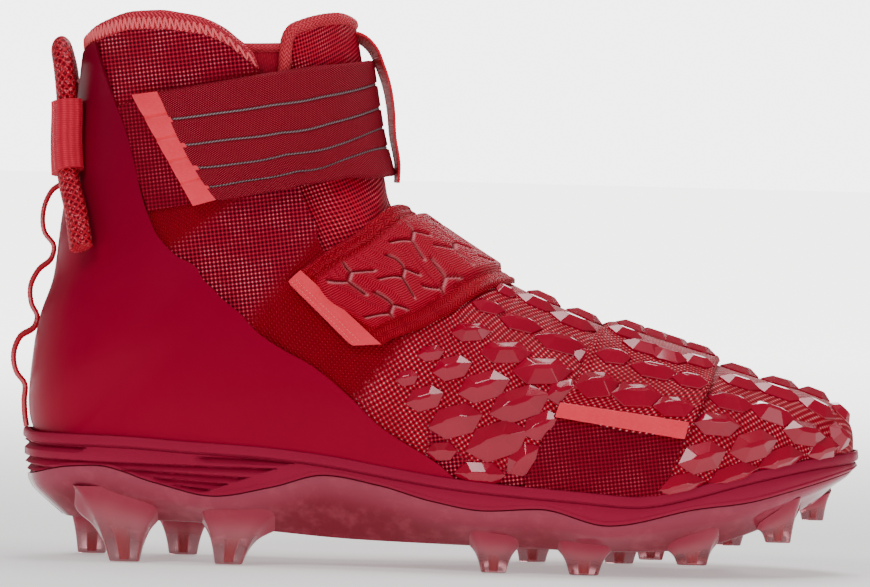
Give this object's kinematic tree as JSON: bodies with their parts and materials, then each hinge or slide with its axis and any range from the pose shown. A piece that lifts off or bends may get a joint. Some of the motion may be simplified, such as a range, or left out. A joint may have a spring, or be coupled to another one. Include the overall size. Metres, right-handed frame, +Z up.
{
  "type": "american football cleat",
  "caption": "Right-foot high-top football cleat: mesh upper, glossy heel panel, ankle, midfoot and forefoot straps, heel rope loop, cupped midsole and clear studded plate",
  "frame": {"origin": "centre of the shoe's bounding box, on the plane of the stud feet", "axes": "+X from heel to toe, +Y to the medial side, +Z up"},
  "size_m": [0.31, 0.1077, 0.1998],
  "materials": {
    "vamp_mesh": "dark red mesh",
    "glossy_panel": "satin gloss film",
    "smooth_panel": "smooth",
    "elastic_strap": "ribbed elastic",
    "padded_strap": "embossed",
    "tab": "gloss",
    "tongue_knit": "knit",
    "webbing": "woven",
    "binding": "knit binding",
    "rope": "braided",
    "sole_frame": "satin",
    "sockliner": "fabric",
    "clear_plate": "clear tinted"
  },
  "bodies": {
    "root": {"upper": "vamp_mesh", "heel_panel": "glossy_panel", "wrap_panel": "smooth_panel", "ankle_strap": "elastic_strap", "midfoot_strap": "padded_strap", "forefoot_strap": "vamp_mesh", "ankle_tab": "tab", "midfoot_tab": "tab", "forefoot_tab": "tab", "tongue": "tongue_knit", "tongue_pull": "webbing", "collar_binding": "binding", "heel_rope": "rope", "rope_sleeve_lateral": "webbing", "rope_sleeve_medial": "webbing", "heel_tape": "webbing", "midsole": "sole_frame", "insole": "sockliner", "outsole": "clear_plate"}
  },
  "joints": []
}
